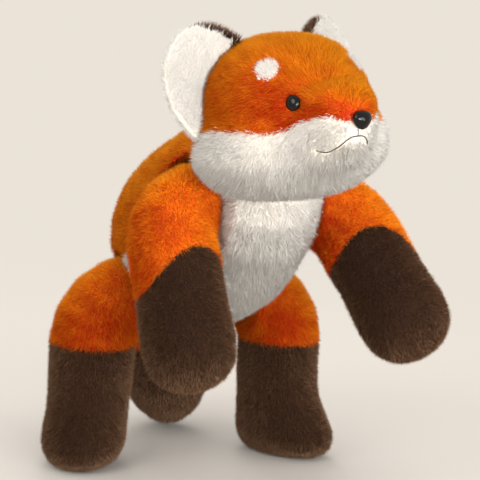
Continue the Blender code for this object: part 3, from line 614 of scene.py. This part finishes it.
def mouth_route():
    """Places along the mouth line, to the left of and above the eyes' middle."""
    route = []
    for step in range(-MOUTH_STEPS, MOUTH_STEPS + 1):
        half = MOUTH_HALVES[step > 0]
        out = abs(step) / MOUTH_STEPS * half
        fall = min(1.0, out / MOUTH_LOWEST) ** MOUTH_POWER
        drop = MOUTH_DROP * (1 - math.cos(math.pi * fall)) / 2
        lift = MOUTH_LIFT * (max(0.0, out - MOUTH_LOWEST) / (MOUTH_HALVES[0] - MOUTH_LOWEST)) ** 2
        side = MOUTH_MIDDLE[0] + math.copysign(out, step)
        route.append((side, MOUTH_MIDDLE[1] - drop + lift))
    return route


def lip_route():
    top, foot = LIP_ENDS
    steps = range(LIP_STEPS + 1)
    return [(MOUTH_MIDDLE[0], top + (foot - top) * step / LIP_STEPS) for step in steps]


def on_face(mesh, route):
    """A route of places laid just proud of the face's skin."""
    centre, axes = face_axes()
    tree = BVHTree.FromPolygons(
        [vertex.co for vertex in mesh.vertices], [face.vertices for face in mesh.polygons]
    )
    laid = []
    for left, up in route:
        start = centre + axes @ np.array([left, up, FACE_REACH])
        hit, normal = tree.ray_cast(Vector(start), Vector(-axes[:, 2]))[:2]
        laid.append(np.array(hit + normal * THREAD_PROUD))
    return np.array(laid)


def sew(node, route, radius, material):
    """A stitched thread along a route, in place of a CAD stitch."""
    curve = bpy.data.curves.new(f"{node}_thread", "CURVE")
    curve.dimensions = "3D"
    curve.bevel_depth = radius
    curve.bevel_resolution = THREAD_BEVEL
    curve.use_fill_caps = True
    line = curve.splines.new("POLY")
    line.points.add(len(route) - 1)
    for point, place in zip(line.points, route):
        point.co = (*place, 1.0)
    line.use_smooth = True
    curve.materials.append(material)
    piece = new_object(f"{node}_thread", curve)
    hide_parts(node)
    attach(piece, "head")


# Covers
def part_of_skin(mesh, name, owner, index):
    """The faces of a skin that one cover owns, as cloth with a thickness."""
    work = bmesh.new()
    work.from_mesh(mesh)
    work.faces.ensure_lookup_table()
    lost = [face for face in work.faces if owner[face.index] != index]
    bmesh.ops.delete(work, geom=lost, context="FACES")
    cover = bpy.data.meshes.new(name)
    work.to_mesh(cover)
    work.free()
    piece = new_object(name, cover)
    if len(lost) > 0:
        cloth = piece.modifiers.new("cloth", "SOLIDIFY")
        cloth.thickness = CLOTH
        cloth.offset = -1.0
        made = evaluated(piece)
        piece = new_object(name, made)
    piece.data.shade_smooth()
    return piece


def face_owners(mesh, gaps):
    """For each face, the cover that its corners are nearest to."""
    nearest = []
    for face in mesh.polygons:
        nearest.append(int(np.argmin(gaps[list(face.vertices)].mean(0))))
    return nearest


# Fur
def roots_on(mesh, random, per_area):
    """Even random roots over a mesh: triangle, shares of its corners."""
    points, triangles = points_of(mesh), triangles_of(mesh)
    a, b, c = (points[triangles[:, corner]] for corner in range(3))
    areas = np.linalg.norm(np.cross(b - a, c - a), axis=1) / 2
    total = np.cumsum(areas)
    count = int(total[-1] * per_area)
    at = (np.arange(count) + random.random(count)) / count * total[-1]
    which = np.searchsorted(total, at).clip(0, len(triangles) - 1)
    u, v = random.random((2, count))
    over = u + v > 1
    u, v = np.where(over, 1 - u, u), np.where(over, 1 - v, v)
    return triangles[which], np.stack([1 - u - v, u, v], axis=1)


def at_roots(values, corners, shares):
    """Values held at vertices, read where the roots are."""
    held = values[corners]
    if held.ndim == 3:
        return (held * shares[:, :, None]).sum(1)
    return (held * shares).sum(1)


def strand_tips(roots, normals, comb, lengths, lean_share, random):
    """Where each strand ends: it leans along the comb's way, in tufts, and strays a little."""
    tangent = comb - (comb * normals).sum(1, keepdims=True) * normals
    tangent = tangent + waves(roots, TUFT_WAVE, SEED, 3) * TUFT_SHARE
    lean = np.radians(random.uniform(*LEAN_DEG, (len(roots), 1))) * lean_share
    stray = random.normal(size=roots.shape) * math.tan(math.radians(STRAY_DEG))
    way = unit(normals * np.cos(lean) + tangent * np.sin(lean) + stray)
    return roots + way * lengths[:, None]


def strand_mesh(name, roots, tips, widths, normals, tints_and_top_light, random):
    """Tapered blades, each a front and a back that meet at its tip, with soft normals."""
    count = len(roots)
    side = unit(np.cross(tips - roots, normals)) + random.normal(size=roots.shape) * TWIST
    half = unit(side) * widths[:, None] / 2
    turned = (np.cross(half, tips - roots) * normals).sum(1) < 0
    half[turned] *= -1
    facing = unit(np.cross(tips - roots, half))
    behind = facing * widths[:, None] * BLADE_SHARE
    left, right = roots - half, roots + half
    points = np.stack([left, right, tips, right + behind, left + behind], axis=1)
    mesh = bpy.data.meshes.new(name)
    mesh.vertices.add(5 * count)
    mesh.vertices.foreach_set("co", points.astype(np.float32).ravel())
    corners = np.arange(0, 5 * count, 5)[:, None] + np.array(BLADE_CORNERS)
    mesh.loops.add(6 * count)
    mesh.loops.foreach_set("vertex_index", corners.astype(np.int32).ravel())
    mesh.polygons.add(2 * count)
    mesh.polygons.foreach_set("loop_start", np.arange(0, 6 * count, 3, dtype=np.int32))
    mesh.polygons.foreach_set("use_smooth", np.ones(2 * count, bool))
    u = tints_and_top_light[:, None] * (1 - 4 * UV_EDGE) + UV_EDGE * np.array(BLADE_EDGES)
    v = np.broadcast_to(np.tile([UV_EDGE, UV_EDGE, 1 - UV_EDGE], 2), u.shape)
    layer = mesh.uv_layers.new(name="OFBake")
    layer.data.foreach_set("uv", np.stack([u, v], axis=2).astype(np.float32).ravel())
    mesh.update(calc_edges=True)
    tilted = normals - ((normals * facing).sum(1) - BACK_TILT)[:, None] * facing
    soft = np.stack([normals] * 3 + [unit(tilted)] * 3, axis=1).reshape(-1, 3)
    mesh.normals_split_custom_set(soft.astype(np.float32))
    return mesh


def rooted(coat, chosen, dense, random):
    """Roots in the part of a coat that cover number chosen owns, and the share that the limit keeps."""
    quick_share = 1.0
    corners, shares = roots_on(coat["skin"], random, STRANDS_PER_M2 * dense * quick_share)
    gaps = at_roots(coat["gaps"], corners, shares)
    owner = np.argmin(gaps + random.normal(size=gaps.shape) * SEAM_JITTER, axis=1)
    thin = at_roots(coat["thinness"], corners, shares)
    kept = (owner == chosen) & (random.random(len(corners)) < thin)
    most = int(STRANDS_MOST * quick_share)
    share = min(1.0, most / kept.sum())
    kept &= random.random(len(corners)) < share
    return corners[kept], shares[kept], share


def strand_tints_and_top_light(roots, normals, random):
    """Each strand's tint: patches, tufts and its own, raised as painted top light where the skin faces up.
    """
    tints_and_top_light = TINT_MIDDLE + TINT_PATCHES * waves(roots, PATCH_WAVE, SEED + 1)[:, 0]
    tints_and_top_light += TINT_TUFTS * waves(roots, TUFT_WAVE, SEED + 2)[:, 0]
    # Painted top light: strands on up-facing skin get a higher tint, so they come out paler, and orange
    # ones yellower
    tints_and_top_light += random.normal(size=len(roots)) * TINT_STRANDS + TOP_LIGHT_TINT * normals[:, 2]
    return tints_and_top_light.clip(0.0, 1.0)


def grow(name, coat, chosen, lean_share, dense, seed):
    """Fur over the part of a coat that cover number chosen owns."""
    random = np.random.default_rng(seed)
    corners, shares, share = rooted(coat, chosen, dense, random)
    roots = at_roots(points_of(coat["skin"]), corners, shares)
    normals = unit(at_roots(normals_of(coat["skin"]), corners, shares))
    length = at_roots(coat["lengths"], corners, shares)
    length = length * random.uniform(*LENGTH_SPREAD, len(length))
    flow = unit(coat["comb"](roots))
    tips = strand_tips(roots, normals, flow, length, lean_share, random)
    tips[:, 2] = tips[:, 2].clip(FLOOR_CLEAR)
    tints_and_top_light = strand_tints_and_top_light(roots, normals, random)
    stray = random.normal(size=roots.shape) * SOFT_STRAY
    soft = unit(normals + unit(tips - roots) * SOFT_LEAN + stray)
    widths = STRAND_WIDTH / math.sqrt(share) * random.uniform(*WIDTH_SPREAD, len(roots))
    return new_object(name, strand_mesh(name, roots, tips, widths, soft, tints_and_top_light, random))


def towards(start, end):
    """Fur that runs one way, from one node's middle to another's."""
    way = middle(end) - middle(start)
    way /= np.linalg.norm(way)
    return lambda roots: np.broadcast_to(way, roots.shape).copy()


def flowing(way):
    """Fur that all runs one given way."""
    return lambda roots: np.broadcast_to(np.array(way, float), roots.shape).copy()


def from_nose(roots):
    """Fur on the head runs back from the nose, and down on the cheeks."""
    away = unit(roots - middle("nose"))
    aside = near_share(np.abs(in_face(roots)[:, 0]), *CHEEK_FALL_SIDES)
    fall = CHEEK_FALL[0] + (CHEEK_FALL[1] - CHEEK_FALL[0]) * aside
    return away - fall[:, None] * np.array([0.0, 0.0, 1.0])


def outwards(node):
    """Fur that runs away from the middle of a node's foot, up and out."""
    low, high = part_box(node)
    foot = np.array([(low.x + high.x) / 2, (low.y + high.y) / 2, low.z])
    return lambda roots: unit(roots - foot) + np.array([0.0, 0.0, EAR_FLOW_UP])


# The stuffed forms: body, covers with their fur, filling
def form(body, covers, inner, comb, near, inset=SKIN_INSET, voxel=None, times=SMOOTH_TIMES):
    """A stuffed form: each cover has its slot and its fur's length, each neighbour its share and reach."""
    return {
        "near": near,
        "body": body,
        "covers": covers,
        "inner": inner,
        "comb": comb,
        "inset": inset,
        "voxel": voxel or (SKIN_VOXEL),
        "times": times,
    }


def all_forms():
    orange, cream, brown = "orange_fur", "cream_fur", "brown_fur"
    forms = [
        form(
            "torso",
            {"torso_back": (orange, BACK_FUR), "torso_belly": (cream, BELLY_FUR)},
            "torso_stuffing",
            flowing(BODY_FLOW),
            ((("head", "tail"), TIGHT), (("foreleg", "hindleg"), LOOSE)),
        ),
        form(
            "head",
            {"head_crown": (orange, CROWN_FUR), "head_cheeks": (cream, CHEEK_FUR)},
            "head_stuffing",
            from_nose,
            (("torso", TIGHT), ("ear", OVER_EAR)),
        ),
        form(
            "tail",
            {"tail_base": (orange, TAIL_FUR), "tail_tip": (brown, TAIL_FUR)},
            "tail_stuffing",
            towards("tail_base", "tail_tip"),
            (("torso", TIGHT),),
        ),
    ]
    for side in ("right", "left"):
        front, back = f"ear_front_{side}", f"ear_back_{side}"
        forms.append(
            form(
                f"ear_{side}",
                {front: (cream, EAR_FRONT_FUR), back: (brown, EAR_BACK_FUR)},
                None,
                outwards(back),
                (),
                EAR_INSET,
                EAR_VOXEL,
                EAR_SMOOTH_TIMES,
            )
        )
        for leg, paw in (("foreleg", "forepaw"), ("hindleg", "hindpaw")):
            sleeve, foot = f"{leg}_sleeve_{side}", f"{paw}_{side}"
            forms.append(
                form(
                    f"{leg}_{side}",
                    {sleeve: (orange, SLEEVE_FUR), foot: (brown, PAW_FUR)},
                    f"{leg}_stuffing_{side}",
                    towards(sleeve, foot),
                    (("torso", TIGHT),),
                )
            )
    for shape in forms:
        shape["near"] = [(covers_of(forms, kinds), reach) for kinds, reach in shape["near"]]
    return forms


def covers_of(forms, kinds):
    """The covers of the forms whose body's name starts in one of those ways."""
    chosen = [shape for shape in forms if shape["body"].startswith(kinds)]
    return [cover for shape in chosen for cover in shape["covers"]]


def near_share(gaps, none, full):
    """0 up to one distance, rising to 1 at the other."""
    return ((gaps - none) / (full - none)).clip(0.0, 1.0)


def face_fur(points, lengths, thinness, stitched):
    """Shorter fur towards the nose, the eyes and the stitches, and none right beside them."""
    nose = np.linalg.norm(points - middle("nose"), axis=1)
    share = near_share(nose, 0.0, MUZZLE_SHORT)
    lengths = lengths * (MUZZLE_SHARE + (1 - MUZZLE_SHARE) * share)
    stitches = nearest_of(stitched, points)
    share = near_share(stitches, THREAD_PROUD, STITCH_SHORT)
    lengths = lengths * (SHORTEST_SHARE + (1 - SHORTEST_SHARE) * share)
    thinness = np.where(stitches < THREAD_PROUD + STITCH_BALD, 0.0, thinness)
    shiny = distances(tree_of(["eye_right", "eye_left", "nose"]), points)
    thinness = np.where(shiny < EYE_BALD, 0.0, thinness)
    share = near_share(shiny, 0.0, EYE_SHORT)
    return lengths * (EYE_SHARE + (1 - EYE_SHARE) * share), thinness


def fur_lengths(shape, points, gaps):
    """Length of the fur at each vertex of a skin, and how much of it grows there."""
    base = np.array([length for _, length in shape["covers"].values()])
    lengths = base[np.argmin(gaps, axis=1)]
    thinness = np.ones(len(points))
    for nodes, (share, reach) in shape["near"]:
        beside = distances(tree_of(nodes), points)
        lengths = lengths * (share + (1 - share) * near_share(beside, 0.0, reach))
        thinness = np.where(beside < BALD_NEAR, 0.0, thinness)
    return lengths, thinness


def add_spots(points, gaps, lengths):
    """The brow spots as regions of their own on the head's skin."""
    rows = [np.linalg.norm(points - middle(spot), axis=1) - SPOT_RADIUS for spot in SPOTS]
    rows = np.stack(rows, axis=1)
    beside = rows.min(1)
    edge = near_share(beside, 0.0, SPOT_EDGE)
    lengths = lengths * (SPOT_EDGE_SHARE + (1 - SPOT_EDGE_SHARE) * edge)
    lengths = np.where(beside < 0, SPOT_FUR, lengths)
    return np.concatenate([gaps, rows], axis=1), lengths


def sew_mouth(skin, thread):
    """Both stitches of the mouth, and all the places along them."""
    mouth, lip = on_face(skin, mouth_route()), on_face(skin, lip_route())
    sew("mouth_stitch", mouth, THREAD_RADIUS, thread)
    sew("lip_stitch", lip, LIP_RADIUS, thread)
    return np.concatenate([mouth, lip])


def add_cover(shape, cover, slot, skin, owners, cloth):
    """One cover's cloth, in place of its CAD solid."""
    index = list(shape["covers"]).index(cover)
    piece = part_of_skin(skin, f"{cover}_cover", owners, index)
    piece.data.materials.append(cloth[slot])
    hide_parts(cover)
    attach(piece, shape["body"])


def add_fur(shape, name, slot, coat, chosen, fur, seed):
    """The fur of one cover or brow spot."""
    lean_share, dense = 1.0, 1.0
    if name in SPOTS:
        lean_share, dense = SPOT_LEAN_SHARE, SPOT_DENSITY
    if name.startswith("ear"):
        dense = EAR_DENSITY
    piece = grow(f"{name}_fur", coat, chosen, lean_share, dense, seed)
    piece.data.materials.append(fur[slot])
    if name in SPOTS:
        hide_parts(name)
    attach(piece, shape["body"])


def add_filling(shape, nodes, cloth):
    """The filling inside a stuffed form, in place of its CAD solid."""
    filling = smooth_form(nodes, FILLING_VOXEL, shape["times"], FILLING_INSET)
    piece = new_object(f"{shape['body']}_filling", filling)
    filling.materials.append(cloth["white_fibre"])
    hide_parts(shape["inner"])
    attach(piece, shape["body"])


def dress(shape, fur, cloth, thread, seed):
    """Builds one stuffed form: covers, their fur and the filling."""
    covers = list(shape["covers"])
    nodes = covers + ([shape["inner"]] if shape["inner"] else [])
    is_head = shape["body"] == "head"
    skin = smooth_form(nodes, shape["voxel"], shape["times"], shape["inset"])
    surface = points_of(skin) + normals_of(skin) * shape["inset"]
    gaps = np.stack([distances(tree_of([cover]), surface) for cover in covers], axis=1)
    if is_head:
        shape_face(skin)
        stitched = sew_mouth(skin, thread)
    points = points_of(skin)
    fringe = 0.0
    if shape["body"].startswith("ear"):
        gaps, fringe = ear_regions(points, gaps, shape["body"].removeprefix("ear_"))
    if shape["body"].startswith("foreleg"):
        gaps = arched(points, gaps, *covers)
    owners = face_owners(skin, gaps)
    lengths, thinness = fur_lengths(shape, points, gaps)
    lengths = lengths + fringe
    furred = {cover: slot for cover, (slot, _) in shape["covers"].items()}
    for cover, slot in furred.items():
        add_cover(shape, cover, slot, skin, owners, cloth)
    if is_head:
        lengths, thinness = face_fur(points, lengths, thinness, stitched)
        gaps, lengths = add_spots(points, gaps, lengths)
        furred.update({spot: "cream_fur" for spot in SPOTS})
    coat = {
        "skin": skin,
        "gaps": gaps,
        "lengths": lengths,
        "thinness": thinness,
        "comb": shape["comb"],
    }
    for index, (name, slot) in enumerate(furred.items()):
        add_fur(shape, name, slot, coat, index, fur, seed + index)
    if shape["inner"]:
        add_filling(shape, nodes, cloth)
    bpy.data.meshes.remove(skin)


# Hard pieces
def polished(node, material, widen):
    """A smooth, fine copy of a moulded node, in its place."""
    piece = new_object(f"{node}_moulded", joined([node]))
    remeshed(piece, MOULD_VOXEL, MOULD_SMOOTH_TIMES)
    mesh = evaluated(piece)
    mesh.shade_smooth()
    leftward = face_axes()[1][:, 0]
    points = points_of(mesh)
    aside = (points - middle(node)) @ leftward
    set_points(mesh, points + aside[:, None] * leftward * (widen - 1))
    mesh.materials.append(material)
    piece = new_object(f"{node}_moulded", mesh)
    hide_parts(node)
    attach(piece, "head")


def finish_node(node, material):
    """A new finish on a CAD node that stays."""
    for piece_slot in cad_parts[node].material_slots:
        piece_slot.material = material


# Surroundings
def seen_rays(tree):
    """1 for the rays by which the backdrop is seen, straight, mirrored or through something."""
    ways = tree.nodes.new("ShaderNodeLightPath")
    share = ways.outputs["Is Camera Ray"]
    for kind in ("Is Glossy Ray", "Is Transmission Ray"):
        either = tree.nodes.new("ShaderNodeMath")
        either.operation = "MAXIMUM"
        tree.links.new(share, either.inputs[0])
        tree.links.new(ways.outputs[kind], either.inputs[1])
        share = either.outputs["Value"]
    return share


def floor_material():
    """A pale floor that runs out into the backdrop's colour."""
    material, tree, shader = new_material("floor")
    shader.inputs["Base Color"].default_value = with_alpha(FLOOR)
    shader.inputs["Roughness"].default_value = FLOOR_ROUGHNESS
    shader.inputs["Specular IOR Level"].default_value = FLOOR_SPECULAR
    new, link = tree.nodes.new, tree.links.new
    glow = new("ShaderNodeEmission")
    glow.inputs["Color"].default_value = with_alpha(BACKDROP)
    place = new("ShaderNodeTexCoord")
    reach = new("ShaderNodeVectorMath")
    reach.operation = "LENGTH"
    link(place.outputs["Object"], reach.inputs[0])
    fade = new("ShaderNodeMapRange")
    fade.interpolation_type = "SMOOTHSTEP"
    fade.inputs["From Min"].default_value = GLOW_START
    fade.inputs["From Max"].default_value = GLOW_FULL
    link(reach.outputs["Value"], fade.inputs["Value"])
    share = new("ShaderNodeMath")
    share.operation = "MULTIPLY"
    link(seen_rays(tree), share.inputs[0])
    link(fade.outputs["Result"], share.inputs[1])
    mixed = new("ShaderNodeMixShader")
    link(share.outputs["Value"], mixed.inputs["Fac"])
    link(shader.outputs["BSDF"], mixed.inputs[1])
    link(glow.outputs["Emission"], mixed.inputs[2])
    link(mixed.outputs["Shader"], tree.nodes["Material Output"].inputs["Surface"])
    return material


def add_floor():
    work = bmesh.new()
    bmesh.ops.create_circle(work, cap_ends=True, segments=FLOOR_SIDES, radius=FLOOR_RADIUS)
    mesh = bpy.data.meshes.new("floor")
    work.to_mesh(mesh)
    work.free()
    floor = new_object("floor", mesh)
    mesh.materials.append(floor_material())


def add_world():
    """Soft light from all round, and the backdrop's own colour where it is seen."""
    world = bpy.data.worlds.new("world")
    bpy.context.scene.world = world
    world.use_nodes = True
    tree = world.node_tree
    light = tree.nodes["Background"]
    light.inputs["Color"].default_value = with_alpha(SKY)
    light.inputs["Strength"].default_value = SKY_STRENGTH
    seen = tree.nodes.new("ShaderNodeBackground")
    seen.inputs["Color"].default_value = with_alpha(BACKDROP)
    mixed = tree.nodes.new("ShaderNodeMixShader")
    tree.links.new(seen_rays(tree), mixed.inputs["Fac"])
    tree.links.new(light.outputs["Background"], mixed.inputs[1])
    tree.links.new(seen.outputs["Background"], mixed.inputs[2])
    tree.links.new(mixed.outputs["Shader"], tree.nodes["World Output"].inputs["Surface"])


def add_light(name, place, size, power):
    data = bpy.data.lights.new(name, "AREA")
    data.shape = "DISK"
    data.size = size
    data.energy = power
    lamp = bpy.data.objects.new(name, data)
    lamp.location = place
    way = Vector(LIT_PLACE) - Vector(place)
    lamp.rotation_euler = way.to_track_quat("-Z", "Y").to_euler()
    bpy.context.scene.collection.objects.link(lamp)


# The scene
add_camera()
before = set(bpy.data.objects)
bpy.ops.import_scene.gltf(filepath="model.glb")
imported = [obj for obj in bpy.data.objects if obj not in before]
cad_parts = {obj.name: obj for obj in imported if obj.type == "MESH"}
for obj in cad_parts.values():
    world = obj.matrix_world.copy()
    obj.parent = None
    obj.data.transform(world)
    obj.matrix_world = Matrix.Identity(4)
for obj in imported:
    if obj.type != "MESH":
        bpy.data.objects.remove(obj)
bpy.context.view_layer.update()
scene = bpy.context.scene
scene.view_settings.view_transform = "Standard"

# The orange fur's top colours are painted top light
fur_finishes = {
    "orange_fur": fur_material("orange fur", ORANGE, ORANGE_TOP_LIT, ORANGE_SHEEN),
    "cream_fur": fur_material("cream fur", CREAM, CREAM, CREAM_SHEEN),
    "brown_fur": fur_material("brown fur", BROWN, BROWN, BROWN_SHEEN),
}
# The cream and brown cloth under the fur is darker than the fur: painted shade between the strands
cloth_finishes = {
    "orange_fur": cloth_material("orange cloth", ORANGE_CLOTH, ORANGE_CLOTH),
    "cream_fur": cloth_material("cream cloth", CREAM_CLOTH_SHADED, CREAM[0]),
    "brown_fur": cloth_material("brown cloth", BROWN[0], BROWN[1]),
    "white_fibre": cloth_material("fibre", CREAM[1], FIBRE),
}
thread = thread_material()
for number, shape in enumerate(all_forms()):
    dress(shape, fur_finishes, cloth_finishes, thread, SEED + SEED_STEP * number)

black = gloss_material("black plastic", GLOSS, BLACK_ROUGHNESS, BLACK_COAT)
for node, widen in (("eye_right", EYE_WIDEN), ("eye_left", EYE_WIDEN), ("nose", NOSE_WIDEN)):
    polished(node, black, widen)
clear = gloss_material("clear plastic", PLASTIC, CLEAR_ROUGHNESS, CLEAR_COAT)
for node in ("eye_washer_right", "eye_washer_left", "nose_washer"):
    finish_node(node, clear)

add_floor()
add_world()
for light in LIGHTS:
    add_light(*light)
